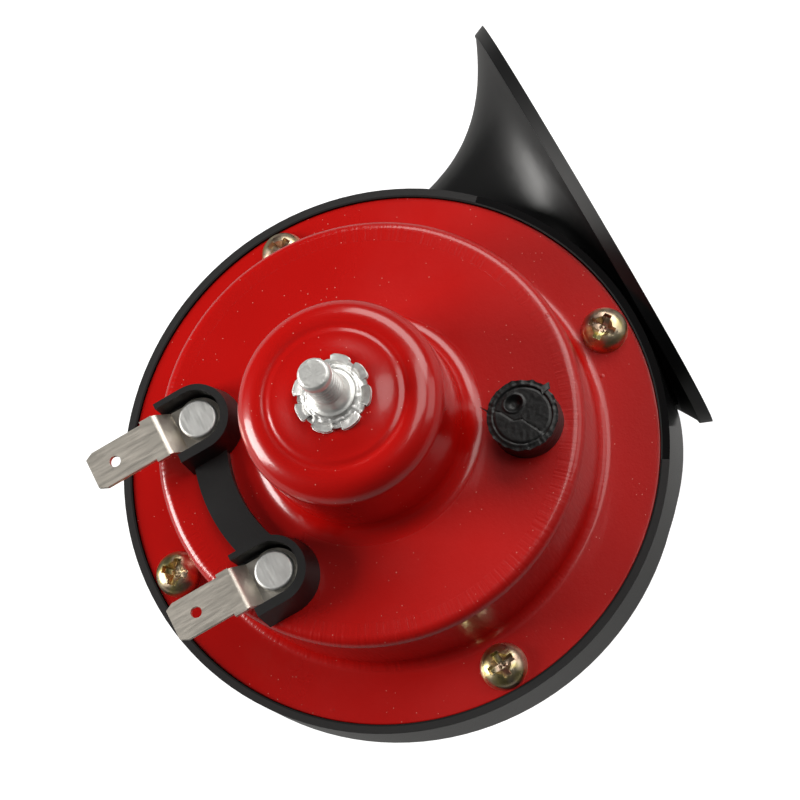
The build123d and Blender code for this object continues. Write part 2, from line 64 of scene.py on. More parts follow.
# ---- the cover's sizes, in millimetres; its heights come from the frame ---------------------------------
SHEET = 1.0
SHROUD_HEIGHT = 5.4
FLANGE_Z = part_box("rear_cover")[0].z / MM + SHEET
PLATEAU_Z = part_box("terminal_insulator")[1].z / MM - SHROUD_HEIGHT
HUB_FOOT_RADIUS = 18.6
RIPPLE_RADII = (30.5, 35.2)

# ---- the moulding's lip round the flange: radii in millimetres, azimuths in degrees ------------------------
LIP_RADII = (43.3, 45.02)
# Inside this radius the lip is coloured near-black: painted shade for the gap between the flange and the lip.
LIP_PAINTED_SHADE_RADIUS = 43.85
POLISHED_AZIMUTHS = (-32, 43.6)
BELL_RADIUS = 45.6


# ---- materials ----------------------------------------------------------------------------------------
class Shader:
    """A small helper round one material's node tree."""

    def __init__(self, name):
        self.material = bpy.data.materials.new(name)
        self.material.use_nodes = True
        self.tree = self.material.node_tree
        self.bsdf = self.tree.nodes["Principled BSDF"]
        self.place = self.node("ShaderNodeTexCoord").outputs["Object"]

    def node(self, kind, **settings):
        made = self.tree.nodes.new(kind)
        for key, value in settings.items():
            setattr(made, key, value)
        return made

    def link(self, source, target):
        self.tree.links.new(source, target)

    def math(self, operation, a, b=None):
        made = self.node("ShaderNodeMath", operation=operation)
        for socket, value in zip(made.inputs, (a, b)):
            if value is None:
                continue
            if isinstance(value, (int, float)):
                socket.default_value = value
            else:
                self.link(value, socket)
        return made.outputs[0]

    def noise(self, scale, detail=2.0, roughness=0.5, stretch=(1, 1, 1), distortion=0.0):
        mapping = self.node("ShaderNodeMapping")
        mapping.inputs["Scale"].default_value = stretch
        self.link(self.place, mapping.inputs["Vector"])
        made = self.node("ShaderNodeTexNoise")
        made.inputs["Scale"].default_value = scale
        made.inputs["Detail"].default_value = detail
        made.inputs["Roughness"].default_value = roughness
        made.inputs["Distortion"].default_value = distortion
        self.link(mapping.outputs[0], made.inputs["Vector"])
        return made.outputs["Fac"]

    def cells(self, scale):
        """Distance to the nearest of the points scattered at this scale."""
        made = self.node("ShaderNodeTexVoronoi")
        made.inputs["Scale"].default_value = scale
        self.link(self.place, made.inputs["Vector"])
        return made.outputs["Distance"]

    def polar(self):
        """The place's x, y and z, then its distance from the stud's axis and its azimuth."""
        split = self.node("ShaderNodeSeparateXYZ")
        self.link(self.place, split.inputs[0])
        x, y, z = split.outputs
        squares = self.math("ADD", self.math("MULTIPLY", x, x), self.math("MULTIPLY", y, y))
        return x, y, z, self.math("SQRT", squares), self.math("ARCTAN2", y, x)

    def ramp(self, factor, *stops):
        made = self.node("ShaderNodeValToRGB")
        elements = made.color_ramp.elements
        while len(elements) < len(stops):
            elements.new(0.5)
        for element, (position, colour) in zip(elements, stops):
            element.position = position
            if isinstance(colour, (int, float)):
                colour = (colour, colour, colour)
            element.color = (*colour, 1)
        self.link(factor, made.inputs["Fac"])
        return made.outputs["Color"]

    def mix(self, factor, a, b):
        made = self.node("ShaderNodeMix", data_type="RGBA")
        sockets = (made.inputs["Factor"], made.inputs[6], made.inputs[7])
        for socket, value in zip(sockets, (factor, a, b)):
            if isinstance(value, (int, float)):
                socket.default_value = value
            elif isinstance(value, tuple):
                socket.default_value = (*value, 1)
            else:
                self.link(value, socket)
        return made.outputs[2]

    def bump(self, height, distance, strength=1.0, under=None):
        made = self.node("ShaderNodeBump")
        made.inputs["Strength"].default_value = strength
        made.inputs["Distance"].default_value = distance
        self.link(height, made.inputs["Height"])
        if under is not None:
            self.link(under, made.inputs["Normal"])
        return made.outputs["Normal"]

    def set(self, **values):
        names = {
            "colour": "Base Color",
            "metallic": "Metallic",
            "roughness": "Roughness",
            "ior": "IOR",
            "coat": "Coat Weight",
            "coat_roughness": "Coat Roughness",
            "specular": "Specular IOR Level",
            "normal": "Normal",
        }
        for key, value in values.items():
            socket = self.bsdf.inputs[names[key]]
            if isinstance(value, tuple):
                socket.default_value = (*value, 1)
            elif isinstance(value, (int, float)):
                socket.default_value = value
            else:
                self.link(value, socket)


def red_paint():
    """Stoved red enamel: orange peel, sandier on the plateau's +X side, ripples at the step, caught dust."""
    s = Shader("red_paint")
    x, y, z, radius, azimuth = s.polar()

    broad = s.noise(45, 2, 0.5)
    colour = s.ramp(broad, (0.3, (0.47, 0.0030, 0.0016)), (0.75, (0.53, 0.0038, 0.0022)))
    speck = s.math("LESS_THAN", s.cells(900), 0.08)
    rare = s.math("GREATER_THAN", s.noise(140, 1, 0.5), 0.50)
    speck = s.math("MULTIPLY", speck, rare)
    colour = s.mix(s.math("MULTIPLY", speck, 0.5), colour, (0.85, 0.42, 0.35))

    # The sandy share grows across the flats towards +X and -Y, and stays off the smooth hub.
    slant = s.math("SUBTRACT", s.math("MULTIPLY", x, 0.85), s.math("MULTIPLY", y, 0.5))
    drift = s.math("MULTIPLY", s.noise(70, 3, 0.6), 0.05)
    sandy = s.node("ShaderNodeMapRange", interpolation_type="SMOOTHSTEP")
    s.link(s.math("ADD", slant, drift), sandy.inputs["Value"])
    sandy.inputs["From Min"].default_value = 0.0
    sandy.inputs["From Max"].default_value = 0.05
    off_hub = s.math("GREATER_THAN", radius, HUB_FOOT_RADIUS * MM)
    sandy = s.math("MULTIPLY", sandy.outputs["Result"], off_hub)

    peel = s.noise(900, 2, 0.55)
    grit = s.noise(2600, 3, 0.65)
    normal = s.bump(peel, 0.00005, 0.35)
    grit = s.math("MULTIPLY", grit, s.math("ADD", s.math("MULTIPLY", sandy, 0.9), 0.12))
    normal = s.bump(grit, 0.00005, 0.5, normal)
    normal = s.bump(speck, 0.00008, 0.6, normal)

    # Ripples run down over the plateau's edge, about 0.6 mm apart round it.
    round_edge = s.node("ShaderNodeCombineXYZ")
    s.link(s.math("MULTIPLY", azimuth, 0.034), round_edge.inputs[0])
    s.link(s.math("MULTIPLY", z, 0.12), round_edge.inputs[1])
    ripple = s.node("ShaderNodeTexNoise")
    ripple.inputs["Scale"].default_value = 1800
    ripple.inputs["Detail"].default_value = 2.0
    s.link(round_edge.outputs[0], ripple.inputs["Vector"])
    near_edge = s.math("GREATER_THAN", radius, RIPPLE_RADII[0] * MM)
    near_edge = s.math("MULTIPLY", near_edge, s.math("LESS_THAN", radius, RIPPLE_RADII[1] * MM))
    ripple = s.math("MULTIPLY", ripple.outputs["Fac"], near_edge)
    normal = s.bump(ripple, 0.00018, 0.5, normal)

    # A few blisters under the film, about 0.8 mm across, on the sandy side.
    blister = s.ramp(s.cells(110), (0.0, 1.0), (0.05, 0.0))
    normal = s.bump(s.math("MULTIPLY", blister, sandy), 0.00022, 0.7, normal)

    roughness = s.math("ADD", s.math("MULTIPLY", sandy, 0.13), 0.24)
    s.set(colour=colour, roughness=roughness, normal=normal)
    s.set(coat=0.5, coat_roughness=0.09, specular=0.5)
    return s.material


def volute_plastic():
    """Black moulding: a matt, trimmed lip round the flange with painted shade along its inner edge, a polished cup
    and a softer shine on the bell.
    """
    s = Shader("volute_plastic")
    _, _, z, radius, azimuth = s.polar()
    near_lip = s.math("GREATER_THAN", radius, LIP_RADII[0] * MM)
    high = s.math("GREATER_THAN", z, (FLANGE_Z + 0.1) * MM)
    inside = s.math("LESS_THAN", radius, LIP_RADII[1] * MM)
    before = s.math("LESS_THAN", azimuth, math.radians(POLISHED_AZIMUTHS[0]))
    after = s.math("GREATER_THAN", azimuth, math.radians(POLISHED_AZIMUTHS[1]))
    trimmed = s.math("MAXIMUM", before, after)
    on_lip = s.math("MULTIPLY", s.math("MULTIPLY", near_lip, high), inside)
    matt = s.math("MULTIPLY", on_lip, trimmed)
    # Painted shade: the lip's inner edge, where it meets the flange, is coloured near-black and made rougher to
    # stand in for the shaded gap between the parts.
    gap = s.math("MULTIPLY", on_lip, s.math("LESS_THAN", radius, LIP_PAINTED_SHADE_RADIUS * MM))
    bell = s.math("GREATER_THAN", radius, BELL_RADIUS * MM)

    colour = s.mix(matt, (0.0065, 0.0065, 0.0068), (0.011, 0.0112, 0.0115))
    # The near-black here is painted shade for that gap, not the moulding's own colour.
    colour = s.mix(gap, colour, (0.001, 0.001, 0.001))
    roughness = s.math("ADD", s.math("MULTIPLY", matt, 0.38), 0.115)
    roughness = s.math("ADD", roughness, s.math("MULTIPLY", gap, 0.4))
    roughness = s.math("ADD", roughness, s.math("MULTIPLY", bell, 0.22))

    grain = s.noise(5200, 3, 0.6)
    normal = s.bump(s.noise(60, 2, 0.5), 0.0004, 0.10)
    fine = s.math("MULTIPLY", grain, s.math("ADD", s.math("MULTIPLY", matt, 0.9), 0.03))
    normal = s.bump(fine, 0.00004, 0.5, normal)
    s.set(colour=colour, roughness=roughness, normal=normal, ior=1.49)
    return s.material


def grained_plastic(name, colour, roughness=0.5, grain=4200, depth=0.00003):
    """A plain plastic, rubber or paper with a fine grain."""
    s = Shader(name)
    texture = s.noise(grain, 3, 0.65)
    shade = s.ramp(s.noise(320, 3, 0.6), (0.3, colour), (0.8, tuple(c * 1.5 for c in colour)))
    s.set(colour=shade, roughness=roughness, normal=s.bump(texture, depth, 0.7))
    return s.material


def metal(
    name, colour, roughness, brush=(1, 1, 1), scale=900, spread=0.12, depth=0.00001, metallic=1.0
):
    """A plated or rolled metal, with faint marks along one way. Less metallic is duller and paler."""
    s = Shader(name)
    marks = s.noise(scale, 4, 0.6, brush)
    low = max(roughness - spread / 2, 0.05)
    rough = s.ramp(marks, (0.3, low), (0.7, roughness + spread / 2))
    shade = s.ramp(s.noise(260, 3, 0.6), (0.3, tuple(c * 0.86 for c in colour)), (0.7, colour))
    s.set(colour=shade, metallic=metallic, roughness=rough, normal=s.bump(marks, depth, 0.5))
    return s.material


def yellow_zinc():
    """Yellow passivated zinc: gold, with the film's green, rose and smoky patches."""
    s = Shader("yellow_zinc")
    drift = s.noise(260, 2, 0.5, distortion=0.6)
    film = s.ramp(
        drift,
        (0.22, (0.20, 0.22, 0.15)),
        (0.38, (0.62, 0.52, 0.22)),
        (0.50, (0.66, 0.55, 0.38)),
        (0.62, (0.52, 0.36, 0.27)),
        (0.78, (0.33, 0.33, 0.20)),
    )
    roughness = s.ramp(s.noise(900, 2), (0.3, 0.26), (0.7, 0.40))
    s.set(colour=film, metallic=1.0, roughness=roughness)
    return s.material


MATERIALS = {
    "red_paint": red_paint(),
    "volute_plastic": volute_plastic(),
    "yellow_zinc": yellow_zinc(),
}
for name, colour, roughness, options in (
    ("insulator_plastic", (0.0085, 0.0085, 0.0088), 0.42, {}),
    ("plug_rubber", (0.006, 0.006, 0.006), 0.42, {"grain": 2600, "depth": 0.00005}),
    ("gasket_paper", (0.20, 0.15, 0.10), 0.8, {}),
    ("bobbin_plastic", (0.5, 0.48, 0.42), 0.5, {}),
    ("insulating_board", (0.22, 0.10, 0.04), 0.6, {}),
):
    MATERIALS[name] = grained_plastic(name, colour, roughness, **options)
for name, colour, roughness, options in (
    ("plated_steel", (0.90, 0.90, 0.87), 0.42, {"scale": 2600, "depth": 0.00006, "metallic": 0.72}),
    ("zinc_washer", (0.80, 0.80, 0.78), 0.46, {"scale": 2200, "depth": 0.00006, "metallic": 0.85}),
    ("nickel", (0.78, 0.73, 0.65), 0.44, {"brush": (0.1, 1, 1), "scale": 2200}),
    ("rivet_aluminium", (0.84, 0.85, 0.83), 0.5, {"brush": (1, 0.15, 1), "scale": 2400, "spread": 0.15}),
    ("spring_steel", (0.5, 0.5, 0.52), 0.3, {"brush": (0.1, 1, 1), "scale": 1500}),
    ("copper_wire", (0.72, 0.3, 0.14), 0.3, {"brush": (0.2, 0.2, 3), "scale": 4000, "depth": 0.0002}),
    ("contact_metal", (0.4, 0.4, 0.41), 0.35, {}),
    ("brass_arm", (0.75, 0.56, 0.25), 0.3, {"brush": (0.1, 1, 1), "scale": 1500}),
):
    MATERIALS[name] = metal(name, colour, roughness, **options)

for part in frame["record"]["subparts"]:
    mesh = frame["nodes"][part["node"]].data
    mesh.materials.clear()
    mesh.materials.append(MATERIALS[part["material_slot"]])


# ---- mesh helpers ------------------------------------------------------------------------------------------
def piece(name, points, faces, slot, replaces=None, bevel=0.0, sharp_deg=38):
    """A mesh object in millimetres of the part frame, riding on the horn's body."""
    mesh = bpy.data.meshes.new(name)
    mesh.from_pydata([Vector(p) * MM for p in points], [], faces)
    mesh.validate()
    made = bpy.data.objects.new(name, mesh)
    bpy.context.scene.collection.objects.link(made)
    mesh.materials.append(MATERIALS[slot])
    if bevel > 0:
        rounding = made.modifiers.new("rounding", "BEVEL")
        rounding.width = bevel * MM
        rounding.segments = 2
        rounding.limit_method = "ANGLE"
        rounding.angle_limit = math.radians(sharp_deg)
    else:
        mesh.set_sharp_from_angle(angle=math.radians(sharp_deg))
    for polygon in mesh.polygons:
        polygon.use_smooth = True
    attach(made, "horn")
    if replaces:
        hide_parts(replaces)


class Form:
    """Points and faces gathered for one piece."""

    def __init__(self):
        self.points = []
        self.faces = []

    def grid(self, rows, wrap=True, flip=False):
        """Quads over rows of points, and the first point's number. With wrap, each row is a ring."""
        first = len(self.points)
        across = len(rows[0])
        for row in rows:
            self.points.extend(row)
        for i in range(len(rows) - 1):
            for j in range(across if wrap else across - 1):
                a = first + i * across + j
                b = first + i * across + (j + 1) % across
                quad = (a, b, b + across, a + across)
                self.faces.append(quad[::-1] if flip else quad)
        return first

    def close_foot(self, across, centre):
        """A fan from the first ring of points to a middle point below it, facing down."""
        middle = len(self.points)
        self.points.append(centre)
        for j in range(across):
            self.faces.append((middle, (j + 1) % across, j))

    def slab(self, top, thickness):
        """A closed plate under a grid of top points."""
        below = [[(x, y, z - thickness) for x, y, z in row] for row in top]
        rows, across = len(top), len(top[0])
        a = self.grid(top, wrap=False)
        b = self.grid(below, wrap=False, flip=True)
        edge = [(i, 0) for i in range(rows)]
        edge += [(rows - 1, j) for j in range(1, across)]
        edge += [(i, across - 1) for i in range(rows - 2, -1, -1)]
        edge += [(0, j) for j in range(across - 2, 0, -1)]
        for here, there in zip(edge, edge[1:] + edge[:1]):
            i0, i1 = here[0] * across + here[1], there[0] * across + there[1]
            self.faces.append((a + i0, b + i0, b + i1, a + i1))


def smooth(low, high, x):
    """A soft step from 0 at low to 1 at high; high may be below low."""
    t = min(max((x - low) / (high - low), 0.0), 1.0)
    return t * t * (3 - 2 * t)


def rough(x, y, z=0.0, scale=1.0):
    """A repeatable bumpy value from about -1 to 1."""
    return noise.noise(Vector((x * scale + 3.7, y * scale - 1.3, z * scale + 9.1)))


def lathe(form, profile, centre=(0.0, 0.0), around=96, shape=None):
    """Rings of points along a profile of (radius, height). Shape may move each point's two."""
    rows = []
    for radius, z in profile:
        row = []
        for j in range(around):
            turn = j / around
            r, h = (radius, z) if shape is None else shape(radius, z, turn)
            angle = 2 * math.pi * turn
            row.append((centre[0] + r * math.cos(angle), centre[1] + r * math.sin(angle), h))
        rows.append(row)
    form.grid(rows)


def arc(centre, radius, start, end, steps):
    """Profile points on an arc about centre, from start to end in degrees."""
    turns = [math.radians(start + (end - start) * k / steps) for k in range(steps + 1)]
    return [(centre[0] + radius * math.cos(t), centre[1] + radius * math.sin(t)) for t in turns]


# ---- pressed cover ---------------------------------------------------------------------------------------
def make_cover():
    """The pressed cover, with the boss's soft rise, a full shoulder and its flange."""
    bore, shoulder, hub_fillet = 3.85, 3.9, 3.0
    plateau_edge, bend, flange_foot, flange_edge, burr = 32.2, 1.8, 35.8, 43.5, 0.2
    outer = [(bore, 0.0), (4.6, 0.0)]
    for k in range(30):
        r = 6.0 + 0.2 * k
        fall = 0.74 * smooth(5.6, 10.0, r) + 0.26 * smooth(9.7, 10.7, r)
        outer.append((r, -fall + 0.15 * smooth(10.7, 11.6, r)))
    outer += arc((11.9, -4.75), shoulder, 90, 0, 20)
    outer += arc((18.8, PLATEAU_Z + hub_fillet), hub_fillet, 180, 270, 12)
    outer += [(19.0 + 1.1 * k, PLATEAU_Z) for k in range(12)]
    outer += arc((plateau_edge, PLATEAU_Z - bend), bend, 90, 0, 12)
    outer += arc((flange_foot, FLANGE_Z + bend), bend, 180, 270, 10)
    outer += [(36.6 + 0.9 * k, FLANGE_Z) for k in range(8)]
    outer += arc((43.3, FLANGE_Z - burr), burr, 90, 0, 4)
    inner = [(flange_edge, FLANGE_Z - SHEET), (34.0, FLANGE_Z - SHEET), (33.0, FLANGE_Z - 0.2)]
    inner += [(33.0, PLATEAU_Z - bend), (plateau_edge, PLATEAU_Z - SHEET), (18.0, PLATEAU_Z - SHEET)]
    inner += [(14.8, PLATEAU_Z + bend), (14.8, -5.6), (13.4, -3.2), (10.9, -2.1)]
    inner += [(bore, -SHEET), (bore, 0.0)]

    def shape(radius, z, turn):
        """The slight unevenness of pressed sheet, left off the washer's seat and the outer edge."""
        angle = 2 * math.pi * turn
        x, y = radius * math.cos(angle), radius * math.sin(angle)
        if z < -0.01 and radius < 43.0:
            z += 0.03 * rough(x, y, 1, 0.16) * smooth(5.0, 9.0, radius)
            radius += 0.03 * rough(x, y, z, 0.2) * smooth(12.0, 15.0, radius)
        return radius, z

    form = Form()
    lathe(form, (outer + inner)[::-1], around=288, shape=shape)
    piece("cover_pressing", form.points, form.faces, "red_paint", "rear_cover", sharp_deg=50)


# ---- stud and core ------------------------------------------------------------------------------------------
STUD_RADIUS = 2.5
STUD_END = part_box("pole_core")[1].z / MM
CORE_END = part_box("pole_core")[0].z / MM
CORE_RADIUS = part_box("pole_core")[1].x / MM
THREAD_PITCH = 1.1
THREAD_DEPTH = 0.5
THREAD_LOW = 3.0
THREAD_HIGH = STUD_END - 1.25


def thread_depth(turn, z, low, high, pitch, depth):
    """How deep the thread is cut at this turn and height, running out at both ends."""
    wave = abs(((z / pitch - turn) % 1.0) - 0.5) * 2
    share = smooth(low, low + pitch, z) * (1 - smooth(high - 0.3 * pitch, high, z))
    return depth * smooth(0.1, 0.9, 1 - wave) * share


def make_stud():
    """The core, its collar in the cover's bore and the threaded stud, with a lumpy cut end."""
    profile = [(0.02, CORE_END), (CORE_RADIUS - 0.3, CORE_END), (CORE_RADIUS, CORE_END + 0.3)]
    profile += [(CORE_RADIUS, -1.02), (3.7, -1.0), (3.7, 0.95), (3.62, 1.08), (3.45, 1.14)]
    profile += [(3.2, 1.2), (3.0, 1.34), (2.8, 1.6), (2.62, 2.0), (2.53, 2.5)]
    steps = 110
    for i in range(steps + 1):
        profile.append((STUD_RADIUS, THREAD_LOW + (THREAD_HIGH - THREAD_LOW) * i / steps))
    profile += [(2.47, STUD_END - 1.0), (2.46, STUD_END - 0.55), (2.36, STUD_END - 0.3)]
    profile += [(2.12, STUD_END - 0.08), (1.98, STUD_END - 0.02), (1.6, STUD_END - 0.03)]
    profile += [(1.0, STUD_END - 0.06), (0.5, STUD_END - 0.05), (0.02, STUD_END - 0.03)]

    def shape(radius, z, turn):
        angle = 2 * math.pi * turn
        x, y = math.cos(angle), math.sin(angle)
        if z > THREAD_LOW - 0.1 and radius > 2.3:
            radius -= thread_depth(turn, z, THREAD_LOW, THREAD_HIGH, THREAD_PITCH, THREAD_DEPTH)
            radius += 0.02 * rough(x, y, z, 2.5)
        elif z > STUD_END - 0.2:
            z += 0.06 * rough(x * radius, y * radius, 0, 1.3) + 0.03 * rough(x * radius, y * radius, 4, 3.5)
            radius += 0.05 * rough(x, y, 6, 5.0) if radius > 1.9 else 0.0
        elif z > 0.9:
            radius += 0.035 * rough(x, y, z, 2.2)
        return min(radius, CORE_RADIUS), min(z, STUD_END)

    form = Form()
    lathe(form, profile, shape=shape)
    piece("stud_and_core", form.points, form.faces, "plated_steel", "pole_core", sharp_deg=50)


# ---- star washer: a rumpled ring with eight bent petals -------------------------------------------------------
WASHER_TOP = 0.70
RING_INNER, RING_STEP, RING_STEPS = 3.74, 0.145, 12
PETAL_ROOT, PETAL_LENGTH, PETAL_THICKNESS = 4.2, 1.74, 0.5
# Each petal: azimuth and half width in degrees, rise of its edge by the twist in mm, tip lift in mm.
PETALS = (
    (48.7, 14.5, 0.26, 0.14),
    (7.7, 13.5, 0.30, 0.16),
    (-34.3, 15.0, 0.24, 0.10),
    (-84.3, 16.5, 0.20, 0.02),
    (-133.3, 16.5, 0.16, 0.00),
    (-178.3, 15.5, 0.28, 0.12),
    (139.7, 13.5, 0.28, 0.14),
    (94.7, 14.0, 0.24, 0.14),
)


def make_star_washer():
    """The rumpled ring, then its petals as plates of their own."""
    form = Form()
    rings = []
    around = 144
    for k in range(RING_STEPS):
        radius = RING_INNER + RING_STEP * k
        row = []
        for j in range(around):
            angle = 2 * math.pi * j / around
            x, y = radius * math.cos(angle), radius * math.sin(angle)
            z = WASHER_TOP - 0.30 * smooth(4.2, 4.8, radius) + 0.28 * smooth(4.0, RING_INNER, radius)
            z += 0.12 * rough(x, y, 0, 1.3) + 0.07 * rough(x, y, 3, 3.4)
            edge = 1 + (0.03 * rough(x, y, 5, 1.5) if k == RING_STEPS - 1 else 0)
            row.append((x * edge, y * edge, z))
        rings.append(row)
    rings.append([(x * 1.005, y * 1.005, 0.03) for x, y, _ in rings[-1]])
    rings.append([(x * 0.7, y * 0.7, 0.03) for x, y, _ in rings[-1]])
    form.grid(rings[::-1], flip=True)
    piece("star_washer_ring", form.points, form.faces, "zinc_washer", "star_washer", sharp_deg=60)

    for number, (azimuth, half, twist, lift) in enumerate(PETALS, 1):
        form = Form()
        top = []
        rows, across = 12, 13
        for i in range(rows):
            u = i / (rows - 1)
            row = []
            for j in range(across):
                v = 2 * j / (across - 1) - 1
                corner = 1 - 0.05 * abs(v) ** 5 * min(u / 0.6, 1)
                radius = (PETAL_ROOT + PETAL_LENGTH * u) * corner
                angle = math.radians(azimuth + half * v)
                x, y = radius * math.cos(angle), radius * math.sin(angle)
                z = WASHER_TOP + twist * v * smooth(0.05, 0.5, u) + lift * u
                z -= 0.22 * math.exp(-(((u - 0.16) / 0.12) ** 2))
                z += 0.07 * rough(x, y, number, 1.5) + 0.03 * rough(x, y, number, 4.5)
                row.append((x, y, z))
            top.append(row)
        form.slab(top, PETAL_THICKNESS)
        piece(f"star_washer_petal_{number}", form.points, form.faces, "zinc_washer", bevel=0.07)


# ---- cover screws: pan heads with a cross recess ------------------------------------------------------------
SCREW_CIRCLE = 39.5
HEAD_RADIUS = 3.75
HEAD_HEIGHT = 2.7
FLAT_RADIUS = 2.52
SHANK_RADIUS = 1.95
SHANK_LENGTH = 11.0
SCREW_PITCH = 0.7
RECESS_TURNS = (34.5, 31.0, 48.2, 5.2)  # degrees from each screw's own azimuth, as in the photo


def recess_depth(x, y):
    """Depth of the cross recess below the head's top."""
    deepest = 0.0
    for a, b in ((x, y), (y, x)):
        along, across = abs(a), abs(b)
        bottom = 1.75 - 0.30 * along
        wall = smooth(0.62, 0.46, across) * smooth(2.2, 2.0, along)
        deepest = max(deepest, bottom * wall)
    flank = (1.62 - math.hypot(x, y)) * 1.75
    return max(deepest, min(max(flank, 0.0), 1.6))


def make_screw(number):
    """A pan head with its cross recess, on a threaded shank."""
    around = 168
    azimuth = math.radians((number - 1) * 90)
    centre = (SCREW_CIRCLE * math.cos(azimuth), SCREW_CIRCLE * math.sin(azimuth))
    turn_by = azimuth + math.radians(RECESS_TURNS[number - 1])
    form = Form()
    top = []
    radii = [0.02 + 2.5 * k / 42 for k in range(43)]
    rim = HEAD_RADIUS - FLAT_RADIUS
    radii += [FLAT_RADIUS + rim * math.sin(math.pi / 2 * k / 16) for k in range(1, 17)]
    for radius in radii:
        row = []
        for j in range(around):
            angle = 2 * math.pi * j / around
            x, y = radius * math.cos(angle), radius * math.sin(angle)
            z = HEAD_HEIGHT * (1 - min(radius / HEAD_RADIUS, 1.0) ** 3.0) ** 0.52
            local = angle - turn_by
            z -= recess_depth(radius * math.cos(local), radius * math.sin(local))
            z += 0.012 * rough(x, y, number, 2.0) * (1 if radius < 3.4 else 0)
            row.append((centre[0] + x, centre[1] + y, FLANGE_Z + max(z, 0.0)))
        top.append(row)
    form.grid(top)
    shank = [(HEAD_RADIUS, FLANGE_Z), (2.0, FLANGE_Z)]
    rows = 80
    for k in range(rows + 1):
        shank.append((SHANK_RADIUS, FLANGE_Z - SHANK_LENGTH * k / rows))
    shank.append((0.02, FLANGE_Z - SHANK_LENGTH))

    def shape(radius, z, turn):
        if radius == SHANK_RADIUS:
            low, high = FLANGE_Z - SHANK_LENGTH, FLANGE_Z - 1.2
            radius -= thread_depth(turn, z, low, high, SCREW_PITCH, 0.3)
        return radius, z

    lathe(form, shank, centre, around=48, shape=shape)
    # The shank's profile runs downwards, so its faces are turned to look outwards.
    head = (len(radii) - 1) * around
    faces = form.faces[:head] + [face[::-1] for face in form.faces[head:]]
    piece(f"screw_{number}", form.points, faces, "yellow_zinc", f"cover_screw_{number}", sharp_deg=42)


# ---- sealing plug: a rubber cap with a torn, ragged top ---------------------------------------------------------
PLUG_X, PLUG_Y = 22.2, -12.3
PLUG_RADIUS = 5.55
PLUG_TOP = PLATEAU_Z + 5.0
PLUG_FACE = 4.62  # height of the face inside the ragged rim
DENT_X, DENT_Y = -0.3, 2.25
TEAR = ((-3.4, 2.6), (-2.7, 2.05), (-1.6, -0.1), (-0.4, -0.5), (1.1, -3.45), (1.6, -4.6))


def tear_side(x, y):
    """Distance from the tear line, positive on the raised, lower-left side of it."""
    best, sign = 99.0, 1.0
    point = Vector((x, y))
    for a, b in zip(TEAR, TEAR[1:]):
        a, b = Vector(a), Vector(b)
        along = b - a
        t = min(max((point - a).dot(along) / along.length_squared, 0), 1)
        gap = point - (a + along * t)
        if gap.length < best:
            best = gap.length
            sign = 1.0 if along.x * gap.y - along.y * gap.x < 0 else -1.0
    return best * sign


